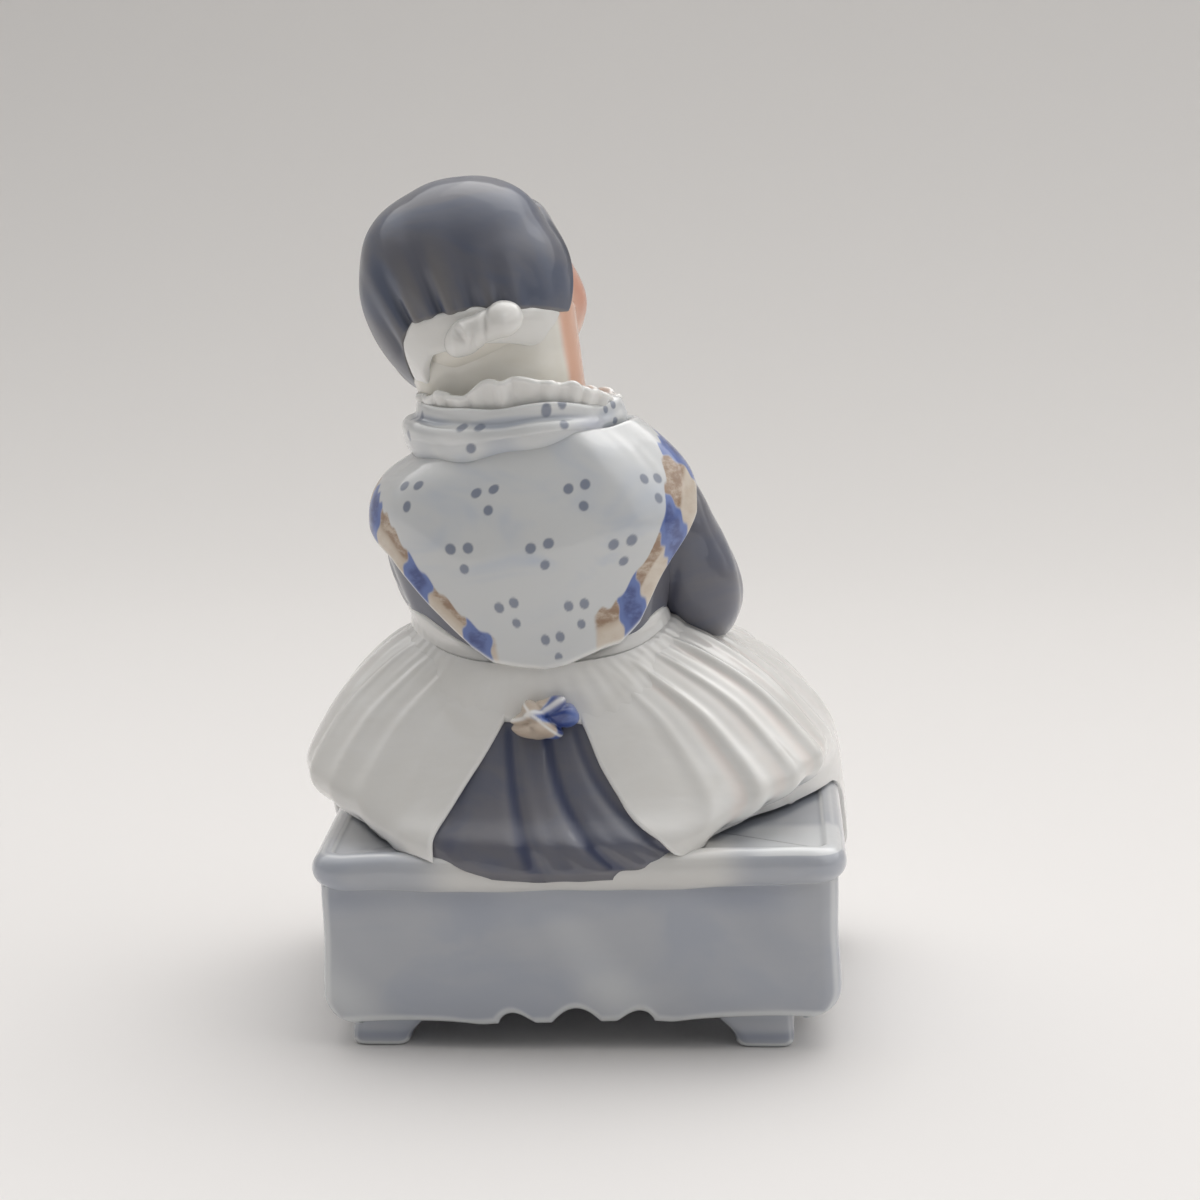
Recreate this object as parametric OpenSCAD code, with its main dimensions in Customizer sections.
// Seated porcelain figurine: a girl in a pleated bonnet, a dotted kerchief and a gathered apron,
// sitting on a small chest. Slip-cast sections, luted together and fired. She faces +Y.

/* [Chest] */
// Width of the lid, side to side
lid_w = 86; // [84:0.5:88]
// Depth of the lid, back to front
lid_d = 58; // [56:0.5:60]
// Thickness of the lid
lid_t = 5.8; // [5:0.1:7]
// Height of the lid's top face above the shelf
seat_z = 33.3; // [32.5:0.1:34]
// Width of the box below the lid
box_w = 83.2; // [80:0.2:84]
// Depth of the box below the lid
box_d = 54; // [51:0.5:55]
// Height of the box's lower edge above the shelf
box_bottom_z = 4.6; // [4.2:0.1:5.4]
// Wall of the cast sections
wall = 2.8; // [2.4:0.1:3.2]
// Lean of the chest and figure on its feet, in degrees, as kiln warping leaves it
lean = 1.1; // [0:0.1:1.4]

/* [Figure] */
// Height of the waist at the back
waist_z = 61; // [60:0.5:62]
// Height of the front hem above the shelf
hem_z = 7.2; // [7:0.1:7.6]
// Depth from the chest's middle to the front of the hanging skirt
skirt_front = 48; // [46:0.5:50]
// Thickness of the apron over the skirt
apron_t = 1.2; // [1:0.1:1.5]
// Thickness of the kerchief over the bodice
shawl_t = 1.8; // [1.5:0.1:2]
// Half width of the bonnet
bonnet_r = 17.8; // [17.4:0.1:18.2]
// Radius of the head inside the bonnet
head_r = 16.4; // [16:0.1:16.6]

/* [Hidden] */

slate = [0.36, 0.40, 0.50];
pale_blue = [0.66, 0.71, 0.78];
glaze_white = [0.90, 0.90, 0.88];
mist = [0.80, 0.83, 0.86];
flesh = [0.85, 0.62, 0.50];
shoe_black = [0.16, 0.17, 0.20];

lid_r = lid_t / 2;
lid_under_z = seat_z - lid_t;
corner_r = 3;
floor_z = box_bottom_z + 3;
floor_t = 2.5;
vent_r = 2.5;
cavity_r = 11;
foot_w = 12.6;
foot_sweep = 3.4;
foot_inset_x = 6.4;
foot_inset_y = 2;
chest_x = 0.7;
feet_x_left = -1.7;
feet_x_right = -0.4;
head_at = [-16.9, 10, 121.2];
head_roll = 21;
head_yaw = 6;
head_pitch = 14;
// Middle of the whole figure's box in plan, brought to X = Y = 0
middle = [-1, 10.5];

// ---- small helpers -------------------------------------------------------------------------

function mix(a, b, t) = a + (b - a) * t;
function ease(t) = t <= 0 ? 0 : t >= 1 ? 1 : t * t * (3 - 2 * t);
function sgn_pow(v, p) = sign(v) * pow(abs(v), p);

// Smooth blend through the rows of a table, at t from 0 (first row) to 1 (last row)
function row_at(rows, t) =
    let (last = len(rows) - 1, s = t * last, i = min(floor(s), last - 1), f = s - i)
    let (a = rows[max(i - 1, 0)], b = rows[i], c = rows[i + 1], d = rows[min(i + 2, last)])
    0.5 * (2 * b + (c - a) * f + (2 * a - 5 * b + 4 * c - d) * f * f + (3 * b - a - 3 * c + d) * f * f * f);

module centred() translate([-middle[0], -middle[1], 0]) children();
// Everything that sits on the feet leans with the warped chest
module leaning() centred() rotate([0, -lean, 0]) children();
module on_chest() leaning() translate([chest_x, 0, 0]) children();

module head_place() leaning() translate(head_at)
    rotate([0, -head_roll, 0]) rotate([0, 0, -head_yaw]) rotate([-head_pitch, 0, 0]) children();

// Triangles of a grid of points, rows by columns, closed round each row if wrap is true
function grid_faces(rows, cols, wrap, at = 0, flip = false) = [
    for (j = [0:rows - 2], i = [0:cols - (wrap ? 1 : 2)])
    let (a = at + j * cols + i, b = at + j * cols + (i + 1) % cols, c = b + cols, d = a + cols)
    each flip ? [[a, b, c], [a, c, d]] : [[a, c, b], [a, d, c]]
];

// Solid through a stack of rings that run anticlockwise seen from above, closed at both ends
module loft(rings) {
    rows = len(rings);
    cols = len(rings[0]);
    centre = [for (r = [rings[0], rings[rows - 1]]) [for (k = [0:2]) mean([for (p = r) p[k]])]];
    ends = [
        for (i = [0:cols - 1]) let (n = (i + 1) % cols, top = (rows - 1) * cols)
        each [[rows * cols, i, n], [rows * cols + 1, top + n, top + i]]
    ];
    polyhedron(concat([for (r = rings) each r], centre), concat(grid_faces(rows, cols, true), ends));
}
function mean(list, i = 0, sum = 0) = i == len(list) ? sum / i : mean(list, i + 1, sum + list[i]);

// Wall between an outer and an inner grid; open grids are closed along all four edges
module skin(outer, inner, wrap) {
    rows = len(outer);
    cols = len(outer[0]);
    n = rows * cols;
    top = (rows - 1) * cols;
    rims = [
        for (i = [0:cols - (wrap ? 1 : 2)]) let (k = (i + 1) % cols)
        each [
            [i, k, n + k], [i, n + k, n + i],
            [top + i, n + top + k, top + k], [top + i, n + top + i, n + top + k]
        ]
    ];
    sides = wrap ? [] : [
        for (j = [0:rows - 2]) let (a = j * cols, b = a + cols, c = a + cols - 1, d = b + cols - 1)
        each [[a, n + a, n + b], [a, n + b, b], [c, d, n + d], [c, n + d, n + c]]
    ];
    polyhedron(
        concat([for (r = outer) each r], [for (r = inner) each r]),
        concat(grid_faces(rows, cols, wrap), grid_faces(rows, cols, wrap, n, true), rims, sides)
    );
}

// Ring of n points round a centre, in the plane of the unit vectors u and v
function ring(centre, u, v, a, b, n) = [for (i = [0:n - 1]) centre + a * cos(360 * i / n) * u + b * sin(360 * i / n) * v];
function unit(v) = v / norm(v);

// Round limb along a path, with one radius at each of its points
module limb(path, radii, n = 16) {
    last = len(path) - 1;
    loft([
        for (i = [0:last])
        let (way = unit(path[min(i + 1, last)] - path[max(i - 1, 0)]))
        let (u = unit(cross([0, 1, 0.3], way)), v = cross(way, u))
        ring(path[i], u, v, radii[i], radii[i], n)
    ]);
}

// ---- chest -------------------------------------------------------------------------------------

module rounded_plan(w, d, r) {
    square([w - 2 * r, d], center = true);
    square([w, d - 2 * r], center = true);
    for (x = [-1, 1], y = [-1, 1]) translate([x * (w / 2 - r), y * (d / 2 - r)]) circle(r, $fn = 48);
}

// Front outline of the box: straight sides, rounded lower corners and a lower edge cut in three scallops
module box_outline() {
    low_r = 5;
    difference() {
        union() {
            translate([-box_w / 2, box_bottom_z + low_r]) square([box_w, lid_under_z - box_bottom_z - low_r]);
            translate([low_r - box_w / 2, box_bottom_z]) square([box_w - 2 * low_r, low_r + 1]);
            for (x = [-1, 1]) translate([x * (box_w / 2 - low_r), box_bottom_z + low_r]) circle(low_r, $fn = 48);
        }
        for (k = [-1:1]) translate([10.4 * k - 1, box_bottom_z - 1]) circle(k == 0 ? 3.2 : 2.5, $fn = 32);
    }
}

module chest_box() color(pale_blue) on_chest() difference() {
    intersection() {
        linear_extrude(lid_under_z) rounded_plan(box_w, box_d, corner_r);
        rotate([90, 0, 0]) translate([0, 0, -box_d]) linear_extrude(2 * box_d) box_outline();
    }
    translate([0, 0, -1]) linear_extrude(lid_under_z + 2) rounded_plan(box_w - 2 * wall, box_d - 2 * wall, 1.5);
}

module chest_lid() color(pale_blue) on_chest() difference() {
    hull() for (x = [-1, 1], y = [-1, 1])
        translate([x * (lid_w / 2 - lid_r), y * (lid_d / 2 - lid_r), seat_z - lid_r]) sphere(lid_r, $fn = 32);
    translate([-2, 0, lid_under_z - 1]) cylinder(h = lid_t + 2, r = cavity_r, $fn = 48);
}

module chest_floor() color(pale_blue) on_chest() difference() {
    translate([0, 0, floor_z]) linear_extrude(floor_t) rounded_plan(box_w - 2 * wall, box_d - 2 * wall, 1.5);
    translate([0, 0, floor_z - 1]) cylinder(h = floor_t + 2, r = vent_r, $fn = 48);
}

// Bracket profile: upright outer side, flat sole, and an inner side that sweeps up and inwards
module bracket(h) difference() {
    square([foot_w, h]);
    translate([foot_w, 0]) circle(foot_sweep, $fn = 48);
}

module foot(x_side, y_side) color(pale_blue) difference() {
    centred() translate([x_side > 0 ? feet_x_right : feet_x_left, 0, 0]) mirror([x_side > 0 ? 1 : 0, 0, 0]) mirror([0, y_side > 0 ? 1 : 0, 0])
        translate([foot_inset_x - box_w / 2, foot_inset_y - box_d / 2, 0]) intersection() {
            translate([0, foot_w, 0]) rotate([90, 0, 0]) linear_extrude(foot_w) bracket(8.5);
            rotate([90, 0, 90]) linear_extrude(foot_w) bracket(8.5);
        }
    on_chest() translate([0, 0, floor_z]) linear_extrude(5) square([box_w + 2, box_d + 2], center = true);
    on_chest() translate([0, 0, box_bottom_z]) linear_extrude(5) difference() {
        square([box_w + 2, box_d + 2], center = true);
        square([box_w - 2 * wall, box_d - 2 * wall], center = true);
    }
}

// ---- skirt and apron ------------------------------------------------------------------------

// Each row: heights at back, side and front; middle in X; half width; back and front reach; squareness
skirt_rows = [
    [waist_z, 65, 63.5, -5, 20, 14.5, 12, 2.1],
    [57, 61.5, 60, -4.3, 26.5, 16.2, 20, 2.1],
    [51.5, 55, 56.5, -3.4, 34.2, 18.6, 31, 2.2],
    [45, 48, 53, -2.8, 39.6, 22, 40, 2.3],
    [39, 42, 44, -2, 43, 26, 45.5, 2.45],
    [35.6, 37.6, 27, -1.2, 43.2, 29.4, skirt_front - 1, 2.6],
    [seat_z, seat_z, hem_z, -0.4, 42.2, 31, skirt_front, 2.6]
];

// How far the hem laps down over the lid's back edge
hem_lap = 3.4;
// Point of the skirt at angle q round the body (90 is the front) and t from waist to hem, grown by g.
// Low down its plan is rounder at the back corner on the right, and the hem tucks in over the lid's ends
function skirt_point(q, t, g) =
    let (r = row_at(skirt_rows, t), fore = ease(1.6 * sin(q)) * t, low = ease(2 * t - 1))
    let (p = 2 / (r[7] + 1.4 * fore - (sin(q) < 0 ? (cos(q) > 0 ? 0.8 : 0.3) * low : 0)))
    let (c = sgn_pow(cos(q), p), s = sgn_pow(sin(q), p), tuck = (cos(q) > 0 ? 0.32 : 0.2) * ease((0.5 - s) / 0.9) * ease((s + 0.95) / 0.35) * ease(3.2 * t - 1.9))
    let (knees = s > 0 ? 2.4 * ease(s) * cos(360 * (c * r[4]) / 42) * ease(3 * t) * ease(2.6 * (1 - t)) : 0)
    [
        r[3] + (r[4] + g) * c * (1 + 0.13 * fore - tuck) + fore,
        s > 0 ? (r[6] + g) * s : (r[5] + g) * s,
        (s > 0 ? mix(r[1], r[2], ease((s - 0.3) / 0.6)) : mix(r[1], r[0], ease(-s))) - knees
            + g * (1 - t) * 0.6 - hem_lap * ease((-sin(q) - 0.8) / 0.2) * ease(7 * t - 6)
    ];

function skirt_grid(from, to, cols, rows, g, t0 = 0, t1 = 1) = [
    for (j = [rows:-1:0]) [for (i = [0:cols]) skirt_point(mix(from, to, i / cols), mix(t0, t1, j / rows), g)]
];

skirt_cols = 47;

module skirt() color(slate) leaning()
    skin(
        skirt_grid(0, 360 * skirt_cols / (skirt_cols + 1), skirt_cols, 12, 0),
        skirt_grid(0, 360 * skirt_cols / (skirt_cols + 1), skirt_cols, 12, -wall), true
    );

apron_cols = 40;
// Half the angle of the wedge that the apron leaves open behind
function apron_edge(t) = mix(3, 29, t);
function apron_grid(g) = [
    for (j = [11:-1:0]) let (t = mix(0.02, 0.985, j / 11), gap = apron_edge(t)) [
        for (i = [0:apron_cols]) skirt_point(mix(-90 + gap, 270 - gap, i / apron_cols), t, g)
    ]
];

// The apron goes round the front and both sides and leaves a wedge open behind
module apron() color(glaze_white) leaning() skin(
    apron_grid(apron_t), apron_grid(0.02), false
);

module apron_band() color(glaze_white) leaning() skin(
    [for (z = [waist_z - 1, 66, 69]) ring([-5, -1, z + 0.5], [1, 0, 0], [0, 1, 0], 21.5 + (z - 60) * 0.05, 15.6, 36)],
    [for (z = [waist_z - 1, 66, 69]) ring([-5, -1, z + 0.5], [1, 0, 0], [0, 1, 0], 19.4 + (z - 60) * 0.05, 13.6, 36)],
    true
);

// ---- upper body -------------------------------------------------------------------------------

// Each row: height, middle in X and Y, half width, back reach, front reach
bodice_rows = [
    [59, -5, -1, 18.5, 13, 12.5],
    [66, -5.6, -0.8, 20.5, 14, 13.2],
    [75, -6.6, -0.2, 23.2, 15.4, 14.4],
    [83, -6.2, 0.6, 25.6, 15.8, 14.8],
    [89, -5.9, 1.4, 23.9, 15, 14],
    [94, -4.2, 2.2, 18.2, 13.4, 12],
    [98, -5.2, 3, 14.2, 11.4, 10],
    [101, -7.2, 3.6, 11, 9.4, 8.6]
];

function bodice_point(q, t, g) =
    let (r = row_at(bodice_rows, t), c = cos(q), s = sin(q))
    [r[1] + (r[3] + g) * c, r[2] + (s > 0 ? r[5] + g : r[4] + g) * s, r[0] + g * 0.5 * ease(3 * t - 2)];

module bodice() color(slate) leaning() skin(
    [for (j = [0:9]) [for (i = [0:35]) bodice_point(10 * i, j / 9, 0)]],
    [for (j = [0:9]) [for (i = [0:35]) bodice_point(10 * i, j / 9, -wall)]], true
);

// Lower edge of the kerchief, as a share of the way up the bodice, by the angle from straight behind:
// a broad point low behind, high over the arms, and two ends that come down in front
function kerchief_low(q) = lookup((q + 270) % 360 - 180, [
    [-180, 0.14], [-130, 0.36], [-100, 0.43], [-76, 0.38], [-60, 0.335], [-48, 0.262], [-28, 0.115], [-20, 0.075],
    [3, 0.05], [20, 0.082], [38, 0.115], [48, 0.165], [59, 0.265], [74, 0.42], [90, 0.53], [104, 0.54], [135, 0.38], [180, 0.14]
]);
// Its upper edge lies under the roll round the neck
kerchief_high = 0.8;
function kerchief_grid(g) = [
    for (j = [0:9]) [for (i = [0:41]) let (q = 360 * i / 42) bodice_point(q, mix(kerchief_low(q), kerchief_high, j / 9), g)]
];

module kerchief() color(mist) leaning() skin(kerchief_grid(shawl_t), kerchief_grid(0.05), true);

// Fold of the kerchief rolled round the neck, thicker behind and higher on the right
module kerchief_roll() color(mist) leaning() {
    turns = 36;
    closed_tube([
        for (i = [0:turns - 1]) let (q = 360 * i / turns, s = sin(q))
        let (melt = ease((cos(q) - 0.25) / 0.7), out = [cos(q), s, 0], fat = 3.4 + 0.8 * ease(-s) - 0.3 * melt)
        [[-7.4, 2.8, 98.4 + 1.4 * cos(q) - 1.3 * melt - 3 * ease(s)] + [(15.4 - 1.9 * melt) * cos(q), 11.8 * s, 0], out, fat]
    ], 12);
}

// Tube round a closed path; each entry holds its centre, outward direction and radius
module closed_tube(path, n) {
    count = len(path);
    points = [for (p = path, k = [0:n - 1]) p[0] + p[2] * (cos(360 * k / n) * p[1] + sin(360 * k / n) * [0, 0, 1])];
    faces = [
        for (i = [0:count - 1], k = [0:n - 1])
        let (a = i * n + k, b = i * n + (k + 1) % n, c = ((i + 1) % count) * n + (k + 1) % n, d = ((i + 1) % count) * n + k)
        each [[a, b, c], [a, c, d]]
    ];
    polyhedron(points, faces);
}

module kerchief_knot() color(mist) leaning() {
    hull() {
        translate([-7, -19.6, 53.4]) sphere(2.7, $fn = 24);
        translate([-1.4, -19.6, 55]) sphere(3.1, $fn = 24);
    }
    translate([-3.6, -20.2, 52.4]) sphere(2.6, $fn = 24);
}

// Wavy frill that stands round the neck inside the rolled kerchief, lower in front under the chin
function frill_ring(out, up, wave) = [
    for (i = [0:47]) let (q = 7.5 * i)
    [
        -7.8 + (15.4 + out) * cos(q), 3.4 + (12 + out) * sin(q),
        mix(99, 103.6 + 2.2 * ease(-sin(q)) - 3.6 * ease(sin(q)), up) + wave * cos(6 * q)
    ]
];
module neck_frill() color(glaze_white) leaning() skin(
    [frill_ring(0, 0, 0), frill_ring(0.4, 0.6, 0.3), frill_ring(0.1, 1, 0.7)],
    [frill_ring(-1.6, 0, 0), frill_ring(-1.3, 0.6, 0.3), frill_ring(-1.5, 0.96, 0.7)], true
);

module neck() color(glaze_white) leaning()
    limb([[-8.6, 4.6, 98.5], [-9.4, 4.8, 103], [-11.2, 5.4, 107.6], [-13.2, 6.6, 111]], [11.6, 11, 10.8, 11.4], 24);

module sleeve(path, radii) color(slate) leaning() limb(path, radii, 18);
module sleeve_right() sleeve(
    [[13.6, 2, 88], [16.8, 2.6, 82.5], [18.7, 3.6, 76.5], [21.6, 6.2, 70], [20.6, 12, 66], [16.2, 18.6, 63.6], [11, 24.2, 62.2]],
    [5.6, 6, 6, 6.5, 6, 5.6, 5.2]
);
module sleeve_left() sleeve(
    [[-25.4, 2.4, 88], [-26.6, 2.6, 82], [-26, 3.6, 76], [-24.6, 6.4, 70.4], [-22.4, 12, 66.6], [-19, 18.4, 64], [-15, 24.2, 62.4]],
    [4.4, 4.8, 4.8, 5.2, 5.2, 5, 4.8]
);

module cuff(path, r) color(glaze_white) leaning() limb(path, [r, r * 1.04, r * 0.98], 24);
module cuff_right() cuff([[11, 24.2, 62.2], [9.4, 26, 61.9], [8, 27.6, 61.6]], 4.4);
module cuff_left() cuff([[-15, 24.2, 62.4], [-13.4, 26, 62], [-12, 27.6, 61.7]], 4.2);

// Palm, four fingers and a thumb, each a rounded bar
module hand(side) {
    bar([0, 0, 0], [-side * 3.4, 5.6, -0.4], 3, 2.4);
    for (k = [0:3]) bar([side * (1.6 - 1.3 * k) - side * 3.4, 6 - 0.3 * k, -0.2], [-side * (5.2 + 1.1 * k), 12.4 - 1.2 * k, -2.2], 1.25, 0.95);
    bar([side * 0.4, 2.6, 0.6], [-side * 6, 6.4, 1.8], 1.4, 1.05);
}
module bar(from, to, r0, r1) hull() {
    translate(from) sphere(r0, $fn = 12);
    translate(to) sphere(r1, $fn = 12);
}
module hand_right() color(flesh) leaning() translate([7.4, 28.2, 61]) rotate([-8, 0, 0]) hand(1);
module hand_left() color(flesh) leaning() translate([-11.4, 28.2, 60]) rotate([-6, 0, 0]) hand(-1);

// ---- head ---------------------------------------------------------------------------------------

// Head and cap are a little flatter up on the right and fuller up on the left, as seen from behind
function lopsided(p) = let (a = atan2(p[2], p[0]), k = 1 - 0.062 * exp(-pow((a - 12) / 16, 2)) + 0.05 * exp(-pow((a - 130) / 18, 2)))
    [p[0] * k, p[1], p[2] * k];

// Surface of the head at azimuth q (90 is the face) and latitude w, with full cheeks low in front
function head_point(q, w, g) =
    let (s = sin(q), fore = ease(s * 0.8 + 0.2) * ease((8 - w) / 40))
    let (cheek = ease(2 * s) * ease((1 - s) / 0.6) * ease((6 - w) / 40) * ease((w + 78) / 30))
    [0.7, 0, 0] + lopsided([
        (head_r + g) * cos(w) * cos(q) * (1 + 0.14 * fore + 0.19 * cheek), ((head_r + g) * s + 3 * fore) * cos(w),
        ((w < 0 ? 20.5 : head_r - 0.6) + g) * sin(w)
    ]);
function head_grid(g) = [
    for (j = [0:10]) [for (i = [0:35]) head_point(10 * i, mix(-60, 89, j / 10), g)]
];
module head() color(flesh) head_place() skin(head_grid(0), head_grid(-3), true);

// Egg-shaped cap over the head, at azimuth q (90 is the face) and latitude w
function cap_point(q, w, g) = lopsided([
    (bonnet_r + g) * cos(w) * cos(q), (bonnet_r - 0.2 + g) * cos(w) * sin(q), ((w < 0 ? 21.5 : 17.2) + g) * sin(w)
]);
// Lower edge of the bonnet as a latitude: level behind, deep at the jaw on the left, and up over the forehead
function bonnet_low(q) = lookup((q + 180) % 360 - 180, [
    [-180, -38], [-168, -46], [-143, -33], [-130, -22], [-116, -17], [-80, -22], [-48, -29], [-20, -33], [-8, -33],
    [-2, -12], [3, 6], [12, 20], [30, 36], [48, 47], [90, 52], [132, 46], [150, 28], [168, -6], [180, -38]
]);
function bonnet_grid(g) = [
    for (j = [0:10]) [for (i = [0:41]) let (q = 360 * i / 42) cap_point(q, mix(bonnet_low(q), 89, j / 10), g)]
];

module bonnet() color(slate) head_place() skin(bonnet_grid(0), bonnet_grid(-1.1), true);

// White under-cap that shows below the bonnet behind
band_cols = 24;
function band_grid(g) = [
    for (j = [0:3]) [
        for (i = [0:band_cols]) let (q = mix(186, 351, i / band_cols))
        cap_point(q, mix(mix(-50, -52, -sin(q)), bonnet_low(q) - 0.5, j / 3), g)
    ]
];
module bonnet_band() color(glaze_white) head_place() skin(band_grid(-0.4), band_grid(-1.6), false);

module bonnet_bow() color(glaze_white) head_place() translate([3.4, -16, -11.6]) rotate([0, 0, 10]) {
    bar([-4.6, 0, -0.6], [-2, -0.6, 0], 3, 2.2);
    bar([4.6, 0, 0.4], [2, -0.6, 0], 3.1, 2.2);
    translate([0, -0.8, 0]) sphere(2.2, $fn = 16);
}

// ---- shoes ---------------------------------------------------------------------------------------

module shoe(x) color(shoe_black) centred() difference() {
    hull() {
        translate([x, 37, 4.6]) sphere(4.8, $fn = 20);
        translate([x * 1.12, 47.6, 3.6]) sphere(4.4, $fn = 20);
    }
    translate([x, 44, -5]) cube([30, 40, 10], center = true);
}
module shoe_left() shoe(-12.5);
module shoe_right() shoe(11.5);

module foot_back_left() foot(-1, -1);
module foot_back_right() foot(1, -1);
module foot_front_left() foot(-1, 1);
module foot_front_right() foot(1, 1);

chest_box();
chest_lid();
chest_floor();
foot_back_left();
foot_back_right();
foot_front_left();
foot_front_right();
skirt();
apron();
apron_band();
bodice();
sleeve_left();
sleeve_right();
cuff_left();
cuff_right();
hand_left();
hand_right();
kerchief();
kerchief_roll();
kerchief_knot();
neck_frill();
neck();
head();
bonnet();
bonnet_band();
bonnet_bow();
shoe_left();
shoe_right();
